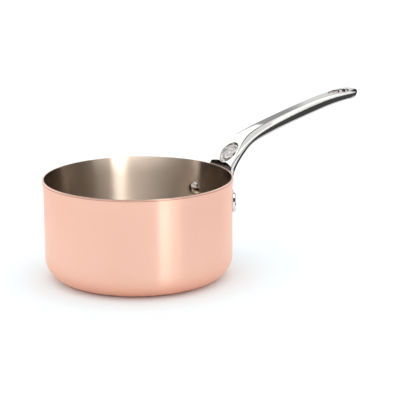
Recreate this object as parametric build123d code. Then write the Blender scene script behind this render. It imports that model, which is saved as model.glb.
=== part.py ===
from build123d import *

import os
from math import asin, cos, degrees, hypot, radians, sin, sqrt

# A copper saucepan: a bowl of copper bonded to a steel lining, a magnetic disc under its base, and
# a cast steel handle that two rivets hold to the wall.
# The origin is the middle of the face that the pan stands on, +Z is up, and the handle runs along +X.
# Lengths are in millimetres and angles in degrees. The bowl's axis is the Z axis.

# Bowl
wall_radius = 81.0  # outside of the straight wall
height = 87.0  # from the table to the rim
copper_thickness = 1.8
lining_thickness = 0.2
corner_radius = 18.4  # outside, between wall and base
lip_flare = 1.2  # how far the rim leans out past the wall
lip_height = 16.0  # how far below the rim the flare starts
rim_round = 0.7  # rounding of the copper's outer top edge

# Base disc
disc_thickness = 0.8
disc_radius = 61.0
disc_chamfer = 0.3

# Rivets
rivet_angle = 22.5  # each side of the handle's middle plane
rivet_drop = 25.5  # rivet axis below the rim
shank_radius = 3.0
rivet_clearance = 0.02
head_radius = 6.2
head_height = 3.4
head_skirt = 0.4  # how far the head's straight side follows the curved wall
tail_radius = 4.6  # the formed outer end, which fills a countersink
tail_height = 0.5
sink_depth = 1.6

# Flange: the part of the handle that hugs the wall, with an ear for each rivet. Drops are below the
# rim.
flange_thickness = 3.3
ear_radius = 8.6
flange_waist = 19.0  # half width where it leaves the stem
flange_waist_drop = 5.0
flange_bend = 22.5
flange_bend_drop = 13.0
flange_bottom_drop = 36.0
flange_round = 1.3
edge_band = 0.6  # the flange's outer edges have their middles this close to its outside

# Stem: each station has the middle of its upper face, as a distance from the bowl's axis and a height
# above the rim, then half the upper face's width, half the full width, the bevel's depth and the
# section's depth.
stem_stations = [
    ((76.0, -35.5), 9.0, 11.0, 1.6, 8.2),
    ((75.8, -24.0), 13.0, 15.0, 1.8, 10.4),
    ((76.4, -12.0), 16.4, 18.4, 1.9, 11.4),
    ((80.3, -1.6), 17.2, 18.6, 1.9, 9.8),
    ((85.3, 5.3), 16.2, 17.2, 1.7, 8.8),
    ((90.8, 11.5), 14.0, 15.9, 1.6, 8.3),
    ((104.2, 23.8), 7.5, 13.9, 1.7, 8.7),
    ((120.7, 32.3), 5.0, 12.0, 2.0, 10.4),
    ((148.9, 41.5), 5.2, 9.2, 2.2, 11.2),
    ((175.8, 49.0), 5.4, 8.2, 2.2, 11.2),
    ((198.0, 53.8), 6.4, 9.6, 1.8, 10.2),
    ((214.3, 55.8), 7.9, 11.3, 1.5, 9.4),
]
belly_side = 0.66  # a belly point between middle and side, as a share of the half width
belly_share = 0.87  # and as a share of the depth

# Hanging eye: an egg-shaped hole through the stem's end
eye_distance = 210.3  # centre of its wide end, from the bowl's axis
eye_wide_radius = 7.4
eye_narrow_radius = 3.2
eye_reach = 9.8  # between the centres of its two ends
eye_edge = 0.4  # chamfer of its upper edge

# Round seat in the stem's upper face, with a plain ringed boss in it
seat_station = 5  # counted from the first station, which is 0
seat_radius = 10.4
seat_depth = 2.2
boss_radius = 7.2
boss_height = 1.4
ring_width = 1.2
groove_depth = 0.4

inner_radius = wall_radius - copper_thickness - lining_thickness
flange_radius = wall_radius + flange_thickness
rivet_height = height - rivet_drop
lip_radius = (lip_height**2 + lip_flare**2) / (2 * lip_flare)
upward = (Align.CENTER, Align.CENTER, Align.MIN)
downward = (Align.CENTER, Align.CENTER, Align.MAX)


def bowl_path(inset):
    """Centre of the base, then the ends and middles of corner, wall and lip, set in from the outside."""
    radius = wall_radius - inset
    floor = disc_thickness + inset
    corner = corner_radius - inset
    slack = corner * (1 - cos(radians(45)))
    reach = lip_radius + inset
    lip_angle = degrees(asin(lip_height / reach))

    def on_lip(angle):
        across = wall_radius + lip_radius - reach * cos(radians(angle))
        return (across, height - lip_height + reach * sin(radians(angle)))

    return [
        (0, floor),
        (radius - corner, floor),
        (radius - slack, floor + slack),
        (radius, floor + corner),
        on_lip(0),
        on_lip(lip_angle / 2),
        on_lip(lip_angle),
    ]


def bowl_edges(inset):
    centre, base, corner, wall_foot, wall_top, lip, rim = bowl_path(inset)
    return [
        Line(centre, base),
        ThreePointArc(base, corner, wall_foot),
        Line(wall_foot, wall_top),
        ThreePointArc(wall_top, lip, rim),
    ]


def spin(outline):
    """Turns a closed outline in X and Z about the bowl's axis."""
    return revolve(Plane.XZ * make_face(outline), Axis.Z, 360)


def bowl_layer(outer_inset, inner_inset):
    outer, inner = bowl_path(outer_inset), bowl_path(inner_inset)
    joining = [Line(outer[-1], inner[-1]), Line(inner[0], outer[0])]
    return spin(bowl_edges(outer_inset) + bowl_edges(inner_inset) + joining)


def bowl_envelope():
    """The bowl's outside as one full solid, up to the rim."""
    outer = bowl_path(0)
    top = (0, height)
    return spin(bowl_edges(0) + [Line(outer[-1], top), Line(top, outer[0])])


def rivet_plane(side):
    """A plane on the bowl's axis at the height of the rivets, whose Z runs out along one of them."""
    across, along = sin(radians(side * rivet_angle)), cos(radians(rivet_angle))
    return Plane(origin=(0, 0, rivet_height), x_dir=(-across, along, 0), z_dir=(along, across, 0))


def drill(solid):
    """Takes both rivet holes out of a layer of the wall."""
    start = inner_radius - head_height
    for side in (-1, 1):
        hole = Cylinder(shank_radius + rivet_clearance, wall_radius, align=upward)
        solid -= rivet_plane(side) * Pos(0, 0, start) * hole
    return solid


def copper_shell():
    shell = bowl_layer(0, copper_thickness)
    rim_edges = shell.edges().filter_by(GeomType.CIRCLE).group_by(Axis.Z)[-1]
    return drill(fillet(rim_edges.sort_by(SortBy.RADIUS)[-1], rim_round))


def steel_lining():
    return drill(bowl_layer(copper_thickness, copper_thickness + lining_thickness))


def base_disc():
    disc = Cylinder(disc_radius, disc_thickness, align=upward)
    return chamfer(disc.edges().group_by(Axis.Z)[0], disc_chamfer)


def countersink(clearance):
    """The metal between a rivet's shank and its formed end, along the rivet's own axis."""
    wide = tail_radius + clearance
    cone = Cone(shank_radius + clearance, wide, sink_depth, align=downward)
    rise = Cylinder(wide, 2 * tail_height, align=upward)
    return Pos(0, 0, flange_radius) * (cone + rise)


def cap(radius, rise):
    """A ball whose cap of that radius and rise stands on the plane Z = 0."""
    ball = (radius**2 + rise**2) / (2 * rise)
    return Pos(0, 0, rise - ball) * Sphere(ball)


def rivet(side):
    start = inner_radius - head_height / 2
    shank = Pos(0, 0, start) * Cylinder(shank_radius, flange_radius - start, align=upward)
    dome = Pos(0, 0, inner_radius) * Rot(180, 0, 0) * cap(head_radius, head_height)
    barrel = Cylinder(head_radius, head_height + head_skirt, align=downward)
    head = dome & Pos(0, 0, inner_radius + head_skirt) * barrel
    tail = countersink(0) & Pos(0, 0, flange_radius) * cap(tail_radius, tail_height)
    inside = Pos(0, 0, rivet_height) * Cylinder(inner_radius, 4 * head_radius)
    plane = rivet_plane(side)
    return plane * (shank + tail) + ((plane * head) & inside)


def half_section(half_top, half_full, bevel, depth):
    """Upper face, bevel and belly on one side of a stem section, from the middle round to the middle."""
    return [
        Line((0, 0), (half_top, 0)),
        Line((half_top, 0), (half_full, -bevel)),
        Spline(
            (half_full, -bevel),
            (belly_side * half_full, -belly_share * depth),
            (0, -depth),
            tangents=[(0, -1), (-1, 0)],
        ),
    ]


def stem_sections():
    """Each station's plane, with its X across the stem and its Y up out of the upper face, and its sizes."""
    points = [Vector(distance, 0, height + rise) for (distance, rise), *_ in stem_stations]
    spine = Spline(*points)
    sections = []
    for point, (_, *sizes) in zip(points, stem_stations):
        along = spine.tangent_at(spine.param_at_point(point))
        sections.append((Plane(origin=point, x_dir=(0, 1, 0), z_dir=along), sizes))
    return sections


def stem():
    """A loft through the stations, closed by half a turn of the last section."""
    faces = []
    for plane, sizes in stem_sections():
        half = make_face(half_section(*sizes) + [Line((0, -sizes[-1]), (0, 0))])
        faces.append(plane * (half + mirror(half, Plane.YZ)))
    plane, sizes = stem_sections()[-1]
    half = plane * make_face(half_section(*sizes) + [Line((0, -sizes[-1]), (0, 0))])
    turn = Axis(plane.origin, plane.y_dir)
    return loft(faces) + revolve(half, turn, -180)


def flange():
    """The curved plate behind the stem, with an ear round each rivet."""
    ear_y = wall_radius * sin(radians(rivet_angle))
    waist = (flange_waist, height - flange_waist_drop)
    bend = (flange_bend, height - flange_bend_drop)
    ear_top = (ear_y, rivet_height + ear_radius)
    ear_end = (ear_y + ear_radius, rivet_height)
    ear_bottom = (ear_y, rivet_height - ear_radius)
    bottom = (0, height - flange_bottom_drop)
    half = make_face(
        [
            Line((0, waist[1]), waist),
            Spline(waist, bend, ear_top, tangents=[(0, -1), (1, 0)]),
            ThreePointArc(ear_top, ear_end, ear_bottom),
            Spline(ear_bottom, bottom, tangents=[(-1, 0), (-1, 0)]),
            Line(bottom, (0, waist[1])),
        ]
    )
    block = Plane.YZ * extrude(half + mirror(half, Plane.YZ), 2 * wall_radius)
    tall = 3 * height
    plate = block & (Cylinder(flange_radius, tall) - Cylinder(wall_radius, tall))
    outer_edges = [e for e in plate.edges() if hypot(e.center().X, e.center().Y) > flange_radius - edge_band]
    return fillet(outer_edges, flange_round)


def egg(grow):
    """The eye's outline about its wide end's centre, narrow towards -X, grown all round."""
    wide, narrow = eye_wide_radius + grow, eye_narrow_radius + grow
    lean = (wide - narrow) / eye_reach
    level = sqrt(1 - lean * lean)
    wide_side = (-wide * lean, wide * level)
    narrow_side = (-eye_reach - narrow * lean, narrow * level)
    return make_face(
        [
            ThreePointArc(wide_side, (wide, 0), (wide_side[0], -wide_side[1])),
            Line((wide_side[0], -wide_side[1]), (narrow_side[0], -narrow_side[1])),
            ThreePointArc((narrow_side[0], -narrow_side[1]), (-eye_reach - narrow, 0), narrow_side),
            Line(narrow_side, wide_side),
        ]
    )


def eye_cutter():
    last, _ = stem_sections()[-1]
    shift = eye_distance - last.origin.X
    plane = Plane(origin=last.origin + last.z_dir * shift, x_dir=last.z_dir, z_dir=last.y_dir)
    mouth = loft([Pos(0, 0, -eye_edge) * egg(0), Pos(0, 0, eye_edge) * egg(2 * eye_edge)])
    return plane * (extrude(egg(0), 2 * eye_wide_radius, both=True) + mouth)


def seat_plane():
    """The plane of the round seat, which faces out of the stem's upper face."""
    station, _ = stem_sections()[seat_station]
    return Plane(origin=station.origin - station.y_dir * seat_depth, x_dir=(0, 1, 0), z_dir=station.y_dir)


def boss():
    """A plain disc with one ring-shaped groove, which reaches a little way into the metal below it."""
    disc = Cylinder(boss_radius, 2 * boss_height)
    groove = Cylinder(boss_radius - ring_width, groove_depth, align=downward)
    groove -= Cylinder(boss_radius - 2 * ring_width, 2 * groove_depth)
    return disc - Pos(0, 0, boss_height) * groove


def handle():
    body = stem() + flange() - bowl_envelope() - eye_cutter()
    seat = Cylinder(seat_radius, 4 * seat_depth, align=upward)
    body = body - seat_plane() * seat + seat_plane() * boss()
    for side in (-1, 1):
        body -= rivet_plane(side) * countersink(rivet_clearance)
    return drill(body)


def write(shape, name):
    export_step(shape, os.path.join("parts", name + ".step"))


os.makedirs("parts", exist_ok=True)
write(copper_shell(), "copper_shell")
write(steel_lining(), "steel_lining")
write(base_disc(), "base_disc")
write(handle(), "handle")
write(rivet(-1), "rivet_right")
write(rivet(1), "rivet_left")
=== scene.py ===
# A copper saucepan on a pale floor under studio lights. Lengths are in metres, except the handle's, which
# are in millimetres, and angles are in degrees.
import math
import bpy
import openvdb
import numpy as np
from mathutils import Matrix, Vector


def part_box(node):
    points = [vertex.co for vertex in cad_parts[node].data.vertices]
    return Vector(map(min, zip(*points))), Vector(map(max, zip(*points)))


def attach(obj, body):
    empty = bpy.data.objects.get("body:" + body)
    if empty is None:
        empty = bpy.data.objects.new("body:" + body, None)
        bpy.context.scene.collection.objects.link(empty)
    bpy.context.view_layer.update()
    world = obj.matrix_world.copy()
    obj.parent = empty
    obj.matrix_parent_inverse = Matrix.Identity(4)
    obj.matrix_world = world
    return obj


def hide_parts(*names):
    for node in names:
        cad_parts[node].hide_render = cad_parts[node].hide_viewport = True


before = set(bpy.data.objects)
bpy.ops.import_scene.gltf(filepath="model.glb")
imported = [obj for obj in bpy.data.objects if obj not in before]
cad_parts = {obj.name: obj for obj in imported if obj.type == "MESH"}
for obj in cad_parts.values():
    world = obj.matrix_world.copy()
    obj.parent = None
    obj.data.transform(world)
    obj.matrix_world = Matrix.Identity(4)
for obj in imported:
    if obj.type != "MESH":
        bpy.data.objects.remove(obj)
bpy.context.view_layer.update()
scene = bpy.context.scene
scene.view_settings.view_transform = "Standard"
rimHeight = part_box("copper_shell")[1].z
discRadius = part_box("base_disc")[1].x
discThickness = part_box("base_disc")[1].z
print("frame loaded, rim at", round(rimHeight, 4))


# a wrapped socket, so that formulas in a node tree read as Python
class Socket:
    def __init__(self, tree, link):
        self.tree = tree
        self.link = link

    def math(self, operation, *values):
        return self.tree.add("ShaderNodeMath", {"operation": operation}, *values)

    def __add__(self, other):
        return self.math("ADD", self, other)

    def __radd__(self, other):
        return self.math("ADD", other, self)

    def __sub__(self, other):
        return self.math("SUBTRACT", self, other)

    def __rsub__(self, other):
        return self.math("SUBTRACT", other, self)

    def __mul__(self, other):
        return self.math("MULTIPLY", self, other)

    def __truediv__(self, other):
        return self.math("DIVIDE", self, other)

    def __pow__(self, other):
        return self.math("POWER", self, other)

    def __neg__(self):
        return self.math("MULTIPLY", self, -1)

    def __abs__(self):
        return self.math("ABSOLUTE", self)

    def clamp(self):
        return self.tree.add("ShaderNodeClamp", {}, self)

    # a smooth step from low to high while the value goes from start to end
    def ramp(self, start, end, low=0, high=1):
        step = {"interpolation_type": "SMOOTHSTEP"}
        return self.tree.add("ShaderNodeMapRange", step, self, start, end, low, high)


class Tree:
    def __init__(self, nodeTree):
        self.tree = nodeTree
        nodeTree.nodes.clear()

    # settings go on the node first, then each input's value or link, in order or by name
    def add(self, kind, settings, *values, output=0, **named):
        node = self.tree.nodes.new(kind)
        for name, value in settings.items():
            if name == "cases":  # how many inputs an index switch has
                while len(node.index_switch_items) < value:
                    node.index_switch_items.new()
            else:
                setattr(node, name, value)
        byName = {key.replace("_", " "): value for key, value in named.items()}
        for key, value in [*enumerate(values), *byName.items()]:
            if isinstance(value, Socket):
                self.tree.links.new(value.link, node.inputs[key])
            elif value is not None:
                node.inputs[key].default_value = value
        return Socket(self, node.outputs[output]) if node.outputs else node

    def noise(self, place, scale, detail, rough=0.5):
        return self.add("ShaderNodeTexNoise", {}, Vector=place, Scale=scale, Detail=detail, Roughness=rough)

    def mix(self, share, first, second):  # of two colours, whose inputs are the node's seventh and eighth
        unused = [None] * 5
        return self.add("ShaderNodeMix", {"data_type": "RGBA"}, share, *unused, first, second, output=2)

    def place(self):  # where the shaded point is on the piece
        return self.add("ShaderNodeTexCoord", {}, output=3)

    def split(self, vector):  # its three parts
        parts = self.add("ShaderNodeSeparateXYZ", {}, vector).link.node.outputs
        return [Socket(self, part) for part in parts]

    def join(self, x, y, z):
        return self.add("ShaderNodeCombineXYZ", {}, x, y, z)


def rgb(red, green, blue):  # display values 0 to 255, as linear light
    def linear(value):
        share = value / 255
        return share / 12.92 if share <= 0.04045 else ((share + 0.055) / 1.055) ** 2.4
    return (linear(red), linear(green), linear(blue), 1)


cameraSet = {
    "lens": 144, "sensor": 36, "nearest": 0.05, "farthest": 100,
    "distance": 1.3697,  # from the middle of the rim, along the line of sight
    "azimuth": -30, "elevation": 14.17, "roll": 0.37,
    "rimLeft": 0.0531, "rimUp": 0.0200,  # where the middle of the rim stands in the view
}


def makeCamera():
    turn, tilt, roll = (math.radians(cameraSet[key]) for key in ("azimuth", "elevation", "roll"))
    ahead = Vector((-math.sin(turn), math.cos(turn), 0))
    right = Vector((math.cos(turn), math.sin(turn), 0))
    sight = ahead * math.cos(tilt) - Vector((0, 0, math.sin(tilt)))
    up = ahead * math.sin(tilt) + Vector((0, 0, math.cos(tilt)))
    rim = Vector((0, 0, rimHeight))
    eye = rim + right * cameraSet["rimLeft"] - up * cameraSet["rimUp"] - sight * cameraSet["distance"]
    rolledRight = right * math.cos(roll) - up * math.sin(roll)
    rolledUp = right * math.sin(roll) + up * math.cos(roll)
    data = bpy.data.cameras.new("camera")
    data.lens, data.sensor_width = cameraSet["lens"], cameraSet["sensor"]
    data.clip_start, data.clip_end = cameraSet["nearest"], cameraSet["farthest"]
    camera = bpy.data.objects.new("camera", data)
    facing = Matrix((rolledRight, rolledUp, -sight)).transposed().to_4x4()
    camera.matrix_world = Matrix.Translation(eye) @ facing
    scene.collection.objects.link(camera)
    scene.camera = camera
    return ahead, right


viewAhead, viewRight = makeCamera()
print("camera placed")


studioSet = {
    "sky": 1.28,  # what lights the paper
    "paperColour": rgb(238, 246, 249), "paperRadius": 0.22, "farRadius": 6.0, "paperSides": 128,
    "domeSides": 64, "domeRings": 32,
    # each dome is what some shiny pieces see: its radius, how bright it is in front and behind, the azimuth
    # of the middle of its front and how far off that the front has faded, and the share of its light left at
    # the horizon, all of which is back at the full elevation. Then come its panels, each with azimuth to the
    # camera's right, half width, bottom, top, softness of edge and brightness
    "fullElevation": 50,
    "bowlDome": {
        "radius": 4.0, "front": 1.0, "behind": 1.0, "middle": 0, "fade": 90, "horizon": 1.0,
        "panels": [
            (0, 180, 40, 110, 10, 0.4),  # the ceiling
            (33.5, 7.5, -60, 60, 2, 1.75),  # the strip light on the right
            (46, 5.5, -60, 60, 4, 1.3),  # its fainter outer side
            (93, 36, -60, 60, 20, 0.9),  # the shaded side of the room
        ],
    },
    "liningDome": {
        "radius": 3.8, "front": 7.0, "behind": 0.03, "middle": 3, "fade": 94, "horizon": 0.2,
        "panels": [
            (50, 11, -90, 90, 3, 5.2),  # to the right of the strip light
            (27.5, 8.5, -90, 90, 1.5, 25.0),  # the strip light
            (-80, 3.5, -90, 90, 1, 9.0),  # narrow gaps of light far out on the left and the right
            (112, 3, -90, 90, 1, 2.4),
        ],
    },
    "handleDome": {
        "radius": 3.6, "front": 1.0, "behind": 1.0, "middle": 0, "fade": 90, "horizon": 1.0,
        "panels": [
            (0, 180, 44, 110, 3, 0.85),  # the ceiling, brighter overhead, with a dark gap round its edge
            (0, 180, 41, 47, 2, 0.08),
            (0, 180, 62, 110, 3, 1.4),
            (-141.5, 27, 12, 42, 3, 1.4),  # behind on the left, a white wall
            (-173.5, 4.5, 10, 44, 2, 0.36),  # behind, a dark grey gap
            (175, 8, 10, 44, 3, 0.8),  # behind on the right, a light grey wall
            (160, 40, -72, -20, 4, 0.75),  # the ground behind
            (5, 17, 19, 66, 4, 0.06),  # the dark behind the camera
            (75, 47, -54, 2, 4, 0.065),  # the dark room past the paper, on the right, behind and left
            (140, 26, -27, 42, 4, 0.045),
            (-121, 24, -40, 19, 2, 0.03),
        ],
    },
}


def makeSky():
    world = bpy.data.worlds.new("studio")
    world.use_nodes = True
    world.cycles_visibility.glossy = False  # shiny things see the domes instead
    scene.world = world
    tree = Tree(world.node_tree)
    light = tree.add("ShaderNodeBackground", {}, (1, 1, 1, 1), studioSet["sky"])
    tree.add("ShaderNodeOutputWorld", {}, light)


def makeDome(name):
    look = studioSet[name]
    sides, rings = studioSet["domeSides"], studioSet["domeRings"]
    bpy.ops.mesh.primitive_uv_sphere_add(segments=sides, ring_count=rings, radius=look["radius"])
    dome = bpy.context.object
    dome.name = name
    dome.visible_camera = dome.visible_diffuse = dome.visible_shadow = dome.visible_transmission = False
    dome.light_linking.receiver_collection = bpy.data.collections.new(name + "Pieces")
    material = bpy.data.materials.new(name + "Light")
    material.use_nodes = True
    material.cycles.emission_sampling = "NONE"
    tree = Tree(material.node_tree)
    x, y, z = tree.split(tree.place())
    degree = 180 / math.pi
    rightward = x * viewRight.x + y * viewRight.y
    nearer = -(x * viewAhead.x + y * viewAhead.y)
    azimuth = z.math("ARCTAN2", rightward, nearer) * degree
    height = z / look["radius"]
    elevation = height.math("ARCSINE", height) * degree
    shine = abs(azimuth - look["middle"]).ramp(0, look["fade"], look["front"], look["behind"])
    for centre, halfWidth, bottom, top, edge, brightness in look["panels"]:
        soft = edge / 2
        mask = elevation.ramp(bottom - soft, bottom + soft) * elevation.ramp(top + soft, top - soft)
        if halfWidth < 180:
            off = abs(azimuth.math("WRAP", azimuth - centre, 180, -180))
            mask = mask * off.ramp(halfWidth + soft, halfWidth - soft)
        shine = shine + (brightness - shine) * mask
    shine = shine * elevation.ramp(0, studioSet["fullElevation"], look["horizon"], 1)
    glow = tree.add("ShaderNodeEmission", {}, (1, 1, 1, 1), shine)
    clear = tree.add("ShaderNodeBsdfTransparent", {})  # lets a ray on to the next dome
    tree.add("ShaderNodeOutputMaterial", {}, tree.add("ShaderNodeAddShader", {}, glow, clear))
    dome.data.materials.append(material)
    return dome


def makeFloor(name, inner, outer):
    sides = studioSet["paperSides"]
    turns = [2 * math.pi * i / sides for i in range(sides)]
    corners = [(r * math.cos(a), r * math.sin(a), 0) for r in (inner, outer) for a in turns]
    faces = [(i, sides + i, sides + (i + 1) % sides, (i + 1) % sides) for i in range(sides)]
    mesh = bpy.data.meshes.new(name)
    mesh.from_pydata(corners, [], faces)
    floor = bpy.data.objects.new(name, mesh)
    scene.collection.objects.link(floor)
    return floor


def makeStudio():
    makeSky()
    domes = {name: makeDome(name) for name in ("bowlDome", "liningDome", "handleDome")}
    material = bpy.data.materials.new("paper")
    material.use_nodes = True
    tree = Tree(material.node_tree)
    paper = tree.add("ShaderNodeBsdfDiffuse", {}, studioSet["paperColour"])
    tree.add("ShaderNodeOutputMaterial", {}, paper)
    near = makeFloor("floor", 0, studioSet["paperRadius"])
    far = makeFloor("farFloor", studioSet["paperRadius"], studioSet["farRadius"])
    far.visible_glossy = False  # so that the handle mirrors the dark room past the paper
    for floor in (near, far):
        floor.data.materials.append(material)
    return domes


domes = makeStudio()
print("studio lit")


# a round piece's outline in its own tree: corners out from the axis, each with a height, a rounding and the
# number of points on it, then a grid laid round the axis over the outline's points
class TurnedTree(Tree):
    def __init__(self, name, sizes):
        self.group = bpy.data.node_groups.new(name, "GeometryNodeTree")
        super().__init__(self.group)
        interface = self.group.interface
        interface.new_socket("Geometry", in_out="OUTPUT", socket_type="NodeSocketGeometry")
        for size, value in sizes.items():
            kind = "NodeSocketInt" if isinstance(value, int) else "NodeSocketFloat"
            interface.new_socket(size, in_out="INPUT", socket_type=kind).default_value = value
        interface.new_socket("finish", in_out="INPUT", socket_type="NodeSocketMaterial")
        gate = self.tree.nodes.new("NodeGroupInput")
        self.sizes = {socket.name: Socket(self, socket) for socket in gate.outputs if socket.name}

    def choose(self, kind, index, cases):
        return self.add("GeometryNodeIndexSwitch", {"data_type": kind, "cases": len(cases)}, index, *cases)

    def turn(self, corners, sides):
        index = self.add("GeometryNodeInputIndex", {})
        places = [self.join(radius, 0, height) for radius, height, _, _ in corners]
        points = self.add("GeometryNodePoints", {}, len(corners), self.choose("VECTOR", index, places))
        outline = self.add("GeometryNodePointsToCurves", {}, points)
        rounding = self.choose("FLOAT", index, [corner[2] for corner in corners])
        count = self.choose("INT", index, [corner[3] for corner in corners])
        kind = {"mode": "POLY"}
        outline = self.add("GeometryNodeFilletCurve", kind, outline, Count=count, Radius=rounding)
        # long runs are cut up, so that the shading stays true beside a rounding
        place = self.add("GeometryNodeInputPosition", {})
        following = self.add("GeometryNodeFieldAtIndex", {"data_type": "FLOAT_VECTOR"}, place, index + 1)
        gap = self.add("ShaderNodeVectorMath", {"operation": "DISTANCE"}, place, following, output=1)
        cuts = gap / self.sizes["longest run"]
        outline = self.add("GeometryNodeSubdivideCurve", {}, outline, cuts.math("FLOOR", cuts))
        size = self.add("GeometryNodeAttributeDomainSize", {"component": "CURVE"}, outline)
        across = sides + 1
        grid = self.add("GeometryNodeMeshGrid", {}, 1, 1, size, across)
        row = index.math("FLOOR", (index + 0.5) / across)
        column = index - row * across
        fetch = {"data_type": "FLOAT_VECTOR"}
        there = self.add("GeometryNodeSampleIndex", fetch, outline, place, row)
        angle = column * (-2 * math.pi) / sides
        spun = self.add("ShaderNodeVectorRotate", {"rotation_type": "Z_AXIS"}, there, Angle=angle)
        skin = self.add("GeometryNodeSetPosition", {}, grid, Position=spun)
        weld = 2e-6  # joins the seam and the points on the axis
        return self.add("GeometryNodeMergeByDistance", {}, skin, Distance=weld)

    def finish(self, shape):
        shape = self.add("GeometryNodeSetShadeSmooth", {}, shape)
        shape = self.add("GeometryNodeRealizeInstances", {}, shape)
        shape = self.add("GeometryNodeSetMaterial", {}, shape, Material=self.sizes["finish"])
        self.add("NodeGroupOutput", {}, shape)


def grow(name, tree, sizes, finish):  # runs a tree on an empty mesh and keeps its result as a plain mesh
    piece = bpy.data.objects.new(name, bpy.data.meshes.new(name + "Start"))
    scene.collection.objects.link(piece)
    modifier = piece.modifiers.new("shape", "NODES")
    modifier.node_group = tree.group
    values = {**sizes, "finish": finish}
    for socket in tree.group.interface.items_tree:
        if socket.in_out == "INPUT":
            modifier[socket.identifier] = values[socket.name]
    bpy.context.view_layer.update()
    grown = piece.evaluated_get(bpy.context.evaluated_depsgraph_get())
    mesh = bpy.data.meshes.new_from_object(grown)
    piece.modifiers.remove(modifier)
    piece.data = mesh
    mesh.name = name
    mesh.materials.clear()
    mesh.materials.append(finish)
    print(name, "turned:", len(mesh.polygons), "faces")
    return piece


bowlSet = {
    "wall radius": 0.081, "rim height": rimHeight, "base height": discThickness,
    "inset": 0.0, "thickness": 0.0018, "corner": 0.0184,
    "lip flare": 0.0012, "lip height": 0.016, "lip bend": 0.094,
    "outer edge": 0.0007, "inner edge": 0.0003, "longest run": 0.003, "sides": 192,
}
liningSet = {**bowlSet, "inset": 0.0018, "thickness": 0.0002, "outer edge": 0.00006, "inner edge": 0.00008}


def bowlTree():
    tree = TurnedTree("turnedBowl", bowlSet)
    s = tree.sizes
    outer = s["wall radius"] - s["inset"]
    inner = outer - s["thickness"]
    bottom = s["base height"] + s["inset"]
    floor = bottom + s["thickness"]
    knee = s["rim height"] - s["lip height"] / 2
    corner = s["corner"] - s["inset"]
    bend = s["lip bend"] + s["inset"]
    corners = [
        (0, bottom, 0, 1),
        (outer, bottom, corner, 24),
        (outer, knee, bend, 10),
        (outer + s["lip flare"], s["rim height"], s["outer edge"], 6),
        (inner + s["lip flare"], s["rim height"], s["inner edge"], 4),
        (inner, knee, bend + s["thickness"], 10),
        (inner, floor, corner - s["thickness"], 24),
        (0, floor, 0, 1),
    ]
    tree.finish(tree.turn(corners, s["sides"]))
    return tree


discSet = {
    "radius": discRadius, "thickness": discThickness, "edge": 0.0003, "longest run": 0.003, "sides": 192,
    "ring radius": 0.046, "ring width": 0.0016, "ring depth": 0.00022,  # a groove turned in the underside
}


def discTree():
    tree = TurnedTree("turnedDisc", discSet)
    s = tree.sizes
    groove = s["ring width"] / 2
    corners = [
        (0, 0, 0, 1),
        (s["ring radius"] - groove, 0, groove / 4, 3),
        (s["ring radius"] - groove / 2, s["ring depth"], groove / 4, 3),
        (s["ring radius"] + groove / 2, s["ring depth"], groove / 4, 3),
        (s["ring radius"] + groove, 0, groove / 4, 3),
        (s["radius"], 0, s["edge"], 5),
        (s["radius"], s["thickness"], s["edge"] / 2, 3),
        (0, s["thickness"], 0, 1),
    ]
    tree.finish(tree.turn(corners, s["sides"]))
    return tree


rivetSet = {
    "head radius": 0.0062, "head rise": 0.0034, "skirt": 0.0005, "shank radius": 0.003,
    "tail radius": 0.0046, "tail rise": 0.0005,
    "wall": 0.0053,  # from the lining to the outside of the flange
    "wall radius": 0.079, "height": rimHeight - 0.0255, "spread": 22.5, "longest run": 0.001, "sides": 48,
}


def rivetTree():
    tree = TurnedTree("rivets", rivetSet)
    s = tree.sizes
    # a cap's corner is where its top meets the slope of its side, and a rounding there leaves the ball. The
    # rounding is just short of the ball's radius, so that it fits
    shortOfBall = 0.98
    ball = (s["head radius"] ** 2 + s["head rise"] ** 2) / (s["head rise"] * 2)
    run = ball - s["head rise"]
    shoulder = s["head radius"] - s["head rise"] * run / s["head radius"]
    corners = [
        (0, s["head rise"], 0, 1),
        (shoulder, s["head rise"], ball * shortOfBall, 20),
        (s["head radius"], 0, 0.0003, 4),
        (s["head radius"], -s["skirt"], 0, 1),
        (s["shank radius"], -s["skirt"], 0, 1),
        (s["shank radius"], -s["wall"], 0, 1),
        (s["tail radius"], -s["wall"], 0, 1),
        (s["tail radius"] / 2, -s["wall"] - s["tail rise"], s["tail radius"], 8),
        (0, -s["wall"] - s["tail rise"], 0, 1),
    ]
    rivet = tree.turn(corners[::-1], s["sides"])
    index = tree.add("GeometryNodeInputIndex", {})
    angle = (index * 2 - 1) * s["spread"] * (math.pi / 180)
    out = tree.join(angle.math("COSINE", angle), angle.math("SINE", angle), 0)
    place = tree.add("ShaderNodeVectorMath", {"operation": "SCALE"}, out, Scale=s["wall radius"])
    place = tree.add("ShaderNodeVectorMath", {"operation": "ADD"}, place, tree.join(0, 0, s["height"]))
    holes = tree.add("GeometryNodePoints", {}, 2, place)
    inward = tree.add("ShaderNodeVectorMath", {"operation": "SCALE"}, place, Scale=-1.0)
    level = tree.add("ShaderNodeVectorMath", {"operation": "MULTIPLY"}, inward, (1, 1, 0))
    turned = tree.add("FunctionNodeAlignRotationToVector", {"axis": "Z"}, Vector=level)
    tree.finish(tree.add("GeometryNodeInstanceOnPoints", {}, holes, Instance=rivet, Rotation=turned))
    return tree


def newFinish(name):
    material = bpy.data.materials.new(name)
    material.use_nodes = True
    return material, Tree(material.node_tree)


def finishMetal(tree, colour, rough, normal, anisotropy=0.0, tint=None):
    shader = tree.add("ShaderNodeBsdfPrincipled", {}, colour, Metallic=1.0, Roughness=rough, Normal=normal)
    settings = shader.link.node.inputs
    settings["Anisotropic"].default_value = anisotropy
    settings["Anisotropic Rotation"].default_value = 0.25  # stretches highlights across the brushing
    if tint:
        settings["Specular Tint"].default_value = tint
    tree.add("ShaderNodeOutputMaterial", {}, shader)


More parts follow.
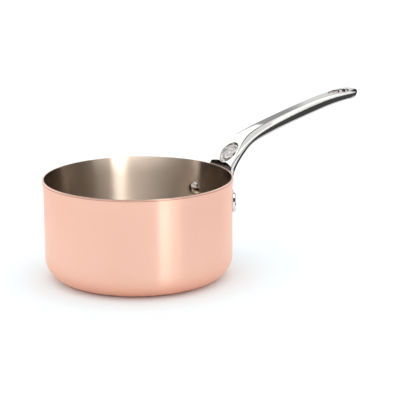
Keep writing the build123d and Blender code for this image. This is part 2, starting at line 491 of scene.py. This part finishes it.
def turnedLines(tree, fine, length):  # brush lines round the axis: quick across them, slow along them
    x, y, z = tree.split(tree.place())
    out = (x * x + y * y) ** 0.5
    across = (out + z) * fine
    return tree.noise(tree.join(x * length, y * length, across), scale=1.0, detail=3.0, rough=0.6), z


copperSet = {
    "colour": rgb(255, 205, 184), "deep": rgb(248, 178, 149), "tint": (1, 0.93, 0.9, 1),
    "roughness": 0.32, "lineRoughness": 0.06, "patchRoughness": 0.05, "anisotropy": 1.0,
    "lineFine": 2600, "lineLength": 30, "lineDepth": 0.00002, "bump": 0.2,
    # the floor bounce share and height paint bounce light from the floor as a deeper copper near the bottom
    "patchScale": 14, "patchDeep": 0.35, "lineDeep": 0.3, "floorBounceShare": 0.5, "floorBounceHeight": 0.03,
    # a painted highlight along the edge and, under it, a painted dark reflection as a darker line round the
    # outside. Drops are down from the rim: where the edge starts and is full, and where the line starts, is
    # full from, is full to and ends
    "edge": rgb(255, 222, 206), "paintedHighlightDrops": (0.0006, 0.0001),
    "line": rgb(190, 134, 118), "paintedDarkLineShare": 0.8, "paintedDarkLineDrops": (0.0017, 0.0013, 0.0009, 0.0005),
}


def copperFinish():
    s = copperSet
    material, tree = newFinish("satinCopper")
    lines, z = turnedLines(tree, s["lineFine"], s["lineLength"])
    patches = tree.noise(tree.place(), s["patchScale"], detail=4.0)
    # painted bounce light from the floor: the copper is mixed towards the deeper colour near the bottom
    low = z.ramp(s["floorBounceHeight"], 0) * s["floorBounceShare"]
    share = ((patches - 0.5) * s["patchDeep"] + (lines - 0.5) * s["lineDeep"] + low).clamp()
    colour = tree.mix(share, s["colour"], s["deep"])
    # a painted highlight along the outer edge of the rim
    highlightStart, highlightFull = (rimHeight - drop for drop in s["paintedHighlightDrops"])
    colour = tree.mix(z.ramp(highlightStart, highlightFull), colour, s["edge"])
    # under the highlight, a painted dark reflection as a thin line round the outside
    below, fullFrom, fullTo, above = (rimHeight - drop for drop in s["paintedDarkLineDrops"])
    line = z.ramp(below, fullFrom) * z.ramp(above, fullTo)
    colour = tree.mix(line * s["paintedDarkLineShare"], colour, s["line"])
    roughness = s["roughness"] + (lines - 0.5) * s["lineRoughness"] + (patches - 0.5) * s["patchRoughness"]
    bump = tree.add("ShaderNodeBump", {}, Strength=s["bump"], Distance=s["lineDepth"], Height=lines)
    finishMetal(tree, colour, roughness, bump, s["anisotropy"], s["tint"])
    return material


liningFinishSet = {
    "colour": rgb(167, 154, 141), "worn": rgb(143, 129, 116),
    "roughness": 0.3, "lineRoughness": 0.03, "anisotropy": 1.0,
    "lineFine": 3200, "lineLength": 18, "lineDepth": 0.00001, "bump": 0.1,
    "patchScale": 22, "patchWorn": 0.3, "lineWorn": 0.5, "allWorn": 0.3,
}


def liningFinish():
    s = liningFinishSet
    material, tree = newFinish("brushedLining")
    lines, _ = turnedLines(tree, s["lineFine"], s["lineLength"])
    patches = tree.noise(tree.place(), s["patchScale"], detail=3.0)
    share = ((patches - 0.5) * s["patchWorn"] + (lines - 0.5) * s["lineWorn"] + s["allWorn"]).clamp()
    colour = tree.mix(share, s["colour"], s["worn"])
    roughness = s["roughness"] + (lines - 0.5) * s["lineRoughness"]
    bump = tree.add("ShaderNodeBump", {}, Strength=s["bump"], Distance=s["lineDepth"], Height=lines)
    finishMetal(tree, colour, roughness, bump, s["anisotropy"])
    return material


discFinishSet = {
    "colour": rgb(196, 194, 190), "worn": rgb(150, 146, 140), "anisotropy": 0.5,
    "roughness": 0.32, "lineRoughness": 0.2, "wornRoughness": 0.12,
    "lineFine": 1500, "lineLength": 10, "lineDepth": 0.00004, "lineWorn": 0.6, "bump": 0.4,
    "scuffScale": 60, "scuffStart": 0.5, "scuffFull": 0.72, "scuffWorn": 0.7,
}


def discFinish():
    s = discFinishSet
    material, tree = newFinish("turnedSteel")
    lines, _ = turnedLines(tree, s["lineFine"], s["lineLength"])
    scuffs = tree.noise(tree.place(), s["scuffScale"], detail=5.0, rough=0.7)
    wear = scuffs.ramp(s["scuffStart"], s["scuffFull"])
    share = (wear * s["scuffWorn"] + (lines - 0.5) * s["lineWorn"]).clamp()
    colour = tree.mix(share, s["colour"], s["worn"])
    roughness = s["roughness"] + (lines - 0.5) * s["lineRoughness"] + wear * s["wornRoughness"]
    bump = tree.add("ShaderNodeBump", {}, Strength=s["bump"], Distance=s["lineDepth"], Height=lines)
    finishMetal(tree, colour, roughness, bump, s["anisotropy"])
    return material


castSet = {
    "colour": rgb(232, 231, 230), "dull": rgb(206, 203, 200),
    "roughness": 0.055, "dullRoughness": 0.1, "patchRoughness": 0.03,
    "patchScale": 35, "patchDull": 0.3, "patchStart": 0.4, "patchFull": 0.65,
    "scratchFine": 1400, "scratchLength": 40, "scratchDull": 0.5, "scratchStart": 0.62, "scratchFull": 0.8,
    "waveScale": 30, "waveDepth": 0.00002, "bump": 0.3,
    # the sunk seat is left duller than the rest and painted darker as shade in the recess, down to a little
    # under its floor; this is in millimetres
    "seatDullAndShadeColour": rgb(178, 168, 168), "seatDullAndShadeShare": 0.6, "seatRoughness": 0.08,
    "seatRadius": 10.2, "seatSoft": 0.4, "seatFloor": (-4.0, -3.5),
    # a painted dark reflection, in the corner where the handle steps up beside the rim
    "corner": rgb(70, 64, 62), "darkReflectionRadius": 0.0843, "darkReflectionSoft": 0.0004, "darkReflectionDrop": (0.001, 0.0004),
}


def castFinish():
    s = castSet
    material, tree = newFinish("polishedSteel")
    x, y, z = tree.split(tree.place())
    patches = tree.noise(tree.place(), s["patchScale"], detail=4.0)
    fine = s["scratchFine"]
    streaks = tree.join(x * s["scratchLength"], y * fine, z * fine / 3)
    scratches = tree.noise(streaks, scale=1.0, detail=2.0).ramp(s["scratchStart"], s["scratchFull"])
    worn = scratches * patches.ramp(s["patchStart"], s["patchFull"])
    share = (worn * s["scratchDull"] + (patches - 0.5) * s["patchDull"]).clamp()
    colour = tree.mix(share, s["colour"], s["dull"])
    out = (x * x + y * y) ** 0.5
    # a painted dark reflection in the corner beside the rim
    start, full = (rimHeight - drop for drop in s["darkReflectionDrop"])
    corner = out.ramp(s["darkReflectionRadius"] + s["darkReflectionSoft"], s["darkReflectionRadius"]) * z.ramp(start, full)
    colour = tree.mix(corner, colour, s["corner"])
    along, up = fromSpine(stationRows[handleSet["seatStation"]], x * 1000, z * 1000)
    reach = (along * along + (y * 1000) ** 2) ** 0.5
    seat = reach.ramp(s["seatRadius"] + s["seatSoft"], s["seatRadius"] - s["seatSoft"])
    seat = seat * up.ramp(*s["seatFloor"])
    # the seat: a duller finish, with painted shade in the recess
    colour = tree.mix(seat * s["seatDullAndShadeShare"], colour, s["seatDullAndShadeColour"])
    roughness = s["roughness"] + worn * s["dullRoughness"] + (patches - 0.5) * s["patchRoughness"]
    roughness = roughness + seat * s["seatRoughness"]
    wave = tree.noise(tree.place(), s["waveScale"], detail=1.0)
    bump = tree.add("ShaderNodeBump", {}, Strength=s["bump"], Distance=s["waveDepth"], Height=wave)
    finishMetal(tree, colour, roughness, bump)
    return material


rivetFinishSet = {
    "colour": rgb(198, 189, 178), "worn": rgb(150, 140, 128), "wornStart": 0.4, "ringWorn": 1.2,
    "roughness": 0.13, "ringRoughness": 0.12,
    "ringFine": 2200, "ringLength": 60, "ringDepth": 0.00002, "bump": 0.3,
}


def rivetFinish():
    s = rivetFinishSet
    material, tree = newFinish("turnedRivet")
    x, y, z = tree.split(tree.place())
    spread = math.radians(rivetSet["spread"])
    side = abs(y) * math.cos(spread) - x * math.sin(spread)  # across either rivet, from its own middle
    reach = (side * side + (z - rivetSet["height"]) ** 2) ** 0.5
    length = s["ringLength"]
    turns = tree.join(reach * s["ringFine"], side * length, z * length)
    rings = tree.noise(turns, scale=1.0, detail=3.0, rough=0.6)
    share = ((rings - s["wornStart"]) * s["ringWorn"]).clamp()
    colour = tree.mix(share, s["colour"], s["worn"])
    roughness = s["roughness"] + (rings - 0.5) * s["ringRoughness"]
    bump = tree.add("ShaderNodeBump", {}, Strength=s["bump"], Distance=s["ringDepth"], Height=rings)
    finishMetal(tree, colour, roughness, bump)
    return material


# the handle is one casting: a field that is negative inside it, meshed and then pulled onto its surface
handleSet = {
    # middle of the upper face: distance from the bowl's axis and height above the rim, then half the upper
    # face's width, half the full width, the bevel's depth and the section's depth, all in millimetres
    "stations": [
        (76.0, -35.5, 9.0, 11.0, 1.6, 8.2),
        (75.8, -24.0, 13.0, 15.0, 1.8, 10.4),
        (76.4, -12.0, 16.4, 18.4, 1.9, 11.4),
        (80.3, -1.6, 17.2, 18.6, 1.9, 9.8),
        (85.3, 5.3, 16.2, 17.2, 1.7, 8.8),
        (90.8, 11.5, 14.0, 15.9, 1.6, 8.3),
        (104.2, 23.8, 7.5, 13.9, 1.7, 8.7),
        (120.7, 32.3, 5.0, 12.0, 2.0, 10.4),
        (148.9, 41.5, 5.2, 9.2, 2.2, 11.2),
        (175.8, 49.0, 5.4, 8.2, 2.2, 11.2),
        (198.0, 53.8, 6.4, 9.6, 1.8, 10.2),
        (214.3, 55.8, 7.9, 11.3, 1.5, 9.4),
    ],
    "spineSteps": 400, "searchStride": 4, "bellyPower": 2.5, "ridgeRound": 0.8,
    "wallRadius": 81.0, "lipFlare": 1.2, "lipHeight": 16.0,  # the bowl's outside
    "flangeThickness": 3.3, "flangeRound": 0.8, "earRadius": 8.6, "rivetDrop": 25.5, "rivetAngle": 22.5,
    "waist": 19.0, "waistTop": 5.0, "waistBlend": 9.0, "rootBlend": 5.0,
    "notchRadius": 84.0, "notchLean": 0.07, "notchEdge": 0.4,  # the step beside the rim
    "seatStation": 5, "seatRadius": 10.4, "seatEdge": 0.5, "seatRound": 0.3,
    "grooveDepth": 2.3, "bossRadius": 7.0, "bossDepth": 0.9,
    # the ring and the petals stand on the boss, and their places and widths are shares of its radius
    "reliefHeight": 0.45, "ringPlace": 0.86, "ringWidth": 0.09,
    "petals": 8, "petalPlace": 0.42, "petalWidth": 0.24,
    "eyeDistance": 210.3, "eyeWide": 7.4, "eyeNarrow": 3.2, "eyeReach": 9.8, "eyeEdge": 0.8,
    # the mesh: its cells, how many make a coarse block, and how many blocks off the surface counts as near
    "margin": 3.0, "cell": 0.55, "quickCell": 1.1, "coarseCells": 4, "nearSurface": 1.3,
    "pulls": 4, "probe": 0.02, "leastSlope": 0.2, "longestPull": 0.3,  # the last is a share of a cell
}


def softMax(a, b, blend):  # where two fields meet, rounded over a band of that width
    share = np.maximum(blend - np.abs(a - b), 0) / blend
    return np.maximum(a, b) + share * share * blend / 4


def softMin(a, b, blend):
    return -softMax(-a, -b, blend)


def makeSpine():
    table = np.array(handleSet["stations"])
    table[:, 1] += rimHeight * 1000
    gaps = np.hypot(*np.diff(table[:, :2], axis=0).T)
    knots = np.concatenate([[0], np.cumsum(gaps)])
    steps = np.linspace(0, knots[-1], handleSet["spineSteps"])
    spacing = np.diff(knots)
    # natural cubic through the stations, one column at a time
    size = len(knots)
    matrix = np.eye(size)
    for i in range(1, size - 1):
        matrix[i, i - 1:i + 2] = spacing[i - 1], 2 * (spacing[i - 1] + spacing[i]), spacing[i]
    slopes = np.diff(table, axis=0) / spacing[:, None]
    right = np.zeros_like(table)
    right[1:-1] = 6 * np.diff(slopes, axis=0)
    bend = np.linalg.solve(matrix, right)
    i = np.clip(np.searchsorted(knots, steps, "right") - 1, 0, size - 2)
    a, b, gap = (knots[i + 1] - steps)[:, None], (steps - knots[i])[:, None], spacing[i][:, None]
    curve = (bend[i] * a**3 + bend[i + 1] * b**3) / (6 * gap)
    curve += (table[i] / gap - bend[i] * gap / 6) * a + (table[i + 1] / gap - bend[i + 1] * gap / 6) * b
    return curve, np.searchsorted(steps, knots)


spine, stationRows = makeSpine()
stepLength = np.hypot(*np.diff(spine[:, :2], axis=0).T).mean()
tangents = np.gradient(spine[:, :2], axis=0)
tangents /= np.linalg.norm(tangents, axis=1)[:, None]


def spineAt(row):  # all the spine's columns and its direction, between its rows
    rows = np.arange(len(spine))
    return [np.interp(row, rows, column) for column in (*spine.T, *tangents.T)]


def fromSpine(row, x, z):  # how far along and how far above, seen from one of the spine's rows
    run, rise = tangents[row].tolist()
    onward = x - float(spine[row, 0])
    upward = z - float(spine[row, 1])
    return onward * run + upward * rise, upward * run - onward * rise


def stemField(x, y, z):
    best, nearest = np.full(x.shape, 1e9), np.zeros(x.shape, int)
    for i in range(0, len(spine), handleSet["searchStride"]):
        reach = (x - spine[i, 0]) ** 2 + (z - spine[i, 1]) ** 2
        closer = reach < best
        best[closer], nearest[closer] = reach[closer], i
    row = nearest.astype(float)
    lastRow = len(spine) - 1.001  # a hair inside the last one
    for _ in range(3):  # closer each time
        middle, height, _, _, _, _, run, rise = spineAt(row)
        along = (x - middle) * run + (z - height) * rise
        row = np.clip(row + along / stepLength, 0, lastRow)
    middle, height, halfTop, halfFull, bevel, depth, run, rise = spineAt(row)
    past = (x - middle) * run + (z - height) * rise  # beyond either end
    up = (z - height) * run - (x - middle) * rise
    side = np.hypot(y, past)
    power = handleSet["bellyPower"]
    lean = np.hypot(bevel, halfFull - halfTop)
    shoulder = ((side - halfTop) * bevel + up * (halfFull - halfTop)) / lean
    low = np.maximum(-up - bevel, 0)
    ratio = (side / halfFull) ** power + (low / (depth - bevel)) ** power
    ratio = np.maximum(ratio, 1e-6) ** (1 / power)
    belly = np.hypot(side, low) * (1 - 1 / ratio)
    upper = softMax(up, shoulder, handleSet["ridgeRound"])
    return softMax(upper, belly, handleSet["ridgeRound"])


def flangeField(x, y, z):
    s = handleSet
    radius = s["wallRadius"]
    around = radius * np.arctan2(y, x)
    ear = radius * math.radians(s["rivetAngle"])
    top = rimHeight * 1000 - s["waistTop"]
    bottom = rimHeight * 1000 - s["rivetDrop"]
    bar = np.hypot(np.maximum(np.abs(around) - ear, 0), z - bottom) - s["earRadius"]
    neck = np.maximum(np.abs(around) - s["waist"], np.abs(z - (top + bottom) / 2) - (top - bottom) / 2)
    outline = softMin(bar, neck, s["waistBlend"])
    skin = np.hypot(x, y) - radius - s["flangeThickness"]
    return softMax(outline, skin, s["flangeRound"])


def bowlField(x, y, z):  # the space that the bowl's outside takes, with its flared lip
    s = handleSet
    rim = rimHeight * 1000
    lean = s["lipFlare"] * (np.maximum(z - rim + s["lipHeight"], 0) / s["lipHeight"]) ** 2
    return np.maximum(np.hypot(x, y) - (s["wallRadius"] + lean), z - rim)


def notchField(x, y, z):  # the space beside the rim that the handle's step leaves
    s = handleSet
    above = z - rimHeight * 1000
    return np.maximum(np.hypot(x, y) - s["notchRadius"] - above * s["notchLean"], -above)


def seatField(x, y, z):
    s = handleSet
    along, up = fromSpine(stationRows[s["seatStation"]], x, z)
    reach = np.hypot(along, y)
    share = reach / s["bossRadius"]
    angle = np.arctan2(y, along)
    middle = (s["seatRadius"] + s["bossRadius"]) / 2
    half = (s["seatRadius"] - s["bossRadius"]) / 2
    bow = np.sqrt(np.maximum(1 - ((reach - middle) / half) ** 2, 0))
    groove = s["bossDepth"] + (s["grooveDepth"] - s["bossDepth"]) * bow
    ring = np.exp(-((share - s["ringPlace"]) / s["ringWidth"]) ** 2)
    petal = np.exp(-((share - s["petalPlace"]) / s["petalWidth"]) ** 2)
    petal = petal * np.cos(angle * s["petals"] / 2) ** 2
    floor = groove - s["reliefHeight"] * (ring + petal)
    return softMax(reach - s["seatRadius"], -(up + floor), s["seatRound"])


def eyeField(x, y, z):
    s = handleSet
    shift = (s["eyeDistance"] - spine[-1, 0]) / tangents[-1, 0]
    along = fromSpine(-1, x, z)[0] - shift
    lean = (s["eyeWide"] - s["eyeNarrow"]) / s["eyeReach"]
    slide = np.clip((-along - np.abs(y) * lean / math.sqrt(1 - lean**2)) / s["eyeReach"], 0, 1)
    radius = s["eyeWide"] + (s["eyeNarrow"] - s["eyeWide"]) * slide
    return np.hypot(along + slide * s["eyeReach"], y) - radius


def handleField(x, y, z):
    s = handleSet
    body = softMin(stemField(x, y, z), flangeField(x, y, z), s["rootBlend"])
    body = softMax(body, -seatField(x, y, z), s["seatEdge"])
    body = softMax(body, -eyeField(x, y, z), s["eyeEdge"])
    body = softMax(body, -notchField(x, y, z), s["notchEdge"])
    return np.maximum(body, -bowlField(x, y, z))


def meshField(name, field, low, high, cell):
    s = handleSet
    # coarse blocks first, then single cells wherever the surface is near
    cells = s["coarseCells"]
    coarse = cells * cell
    counts = np.ceil((high - low) / coarse).astype(int)
    middle = (cells - 1) / 2 / cells
    axes = [low[i] + coarse * (np.arange(counts[i]) + middle) for i in range(3)]
    x, y, z = np.meshgrid(*axes, indexing="ij")
    values = field(x.ravel(), y.ravel(), z.ravel()).reshape(x.shape)
    for axis in range(3):
        values = values.repeat(cells, axis)
    near = np.nonzero(np.abs(values) < s["nearSurface"] * coarse)
    points = [low[i] + cell * near[i] for i in range(3)]
    values[near] = field(*points)
    outside = 1e3  # the field's value where the grid has no cells
    grid = openvdb.FloatGrid(outside)
    grid.copyFromArray(values.astype(np.float32))
    corners, quads = grid.convertToQuads(0)
    corners = corners.astype(float) * cell + low
    step = s["probe"]
    for _ in range(s["pulls"]):  # pull each corner onto the surface, down the slope of the field
        here = field(*corners.T)
        slope = np.stack([(field(*(corners + step * axis).T) - here) / step for axis in np.eye(3)], 1)
        steepness = np.maximum((slope**2).sum(1), s["leastSlope"])
        move = (here / steepness)[:, None] * slope
        length = np.linalg.norm(move, axis=1)[:, None]
        corners -= move * np.minimum(1, s["longestPull"] * cell / np.maximum(length, 1e-9))
    mesh = bpy.data.meshes.new(name)
    mesh.from_pydata(corners / 1000, [], quads.tolist())
    return mesh


def makeHandle(finish):
    low, high = (np.array(corner) * 1000 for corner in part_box("handle"))
    cell = handleSet["cell"]
    margin = handleSet["margin"]
    mesh = meshField("castHandle", handleField, low - margin, high + margin, cell)
    mesh.shade_smooth()
    handle = bpy.data.objects.new("castHandle", mesh)
    scene.collection.objects.link(handle)
    mesh.materials.append(finish)
    print("castHandle meshed:", len(mesh.polygons), "faces")
    return handle


def makePieces():
    bowl = bowlTree()
    pair = ["rivet_left", "rivet_right"]
    made = [
        (grow("copperBowl", bowl, bowlSet, copperFinish()), "copper", ["copper_shell"], "bowlDome"),
        (grow("steelLining", bowl, liningSet, liningFinish()), "lining", ["steel_lining"], "liningDome"),
        (grow("baseDisc", discTree(), discSet, discFinish()), "base", ["base_disc"], "bowlDome"),
        (grow("rivets", rivetTree(), rivetSet, rivetFinish()), "rivet", pair, "handleDome"),
        (makeHandle(castFinish()), "handle", ["handle"], "handleDome"),
    ]
    for piece, slot, nodes, dome in made:
        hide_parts(*nodes)
        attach(piece, "root")
        domes[dome].light_linking.receiver_collection.objects.link(piece)


makePieces()
print("pieces made")
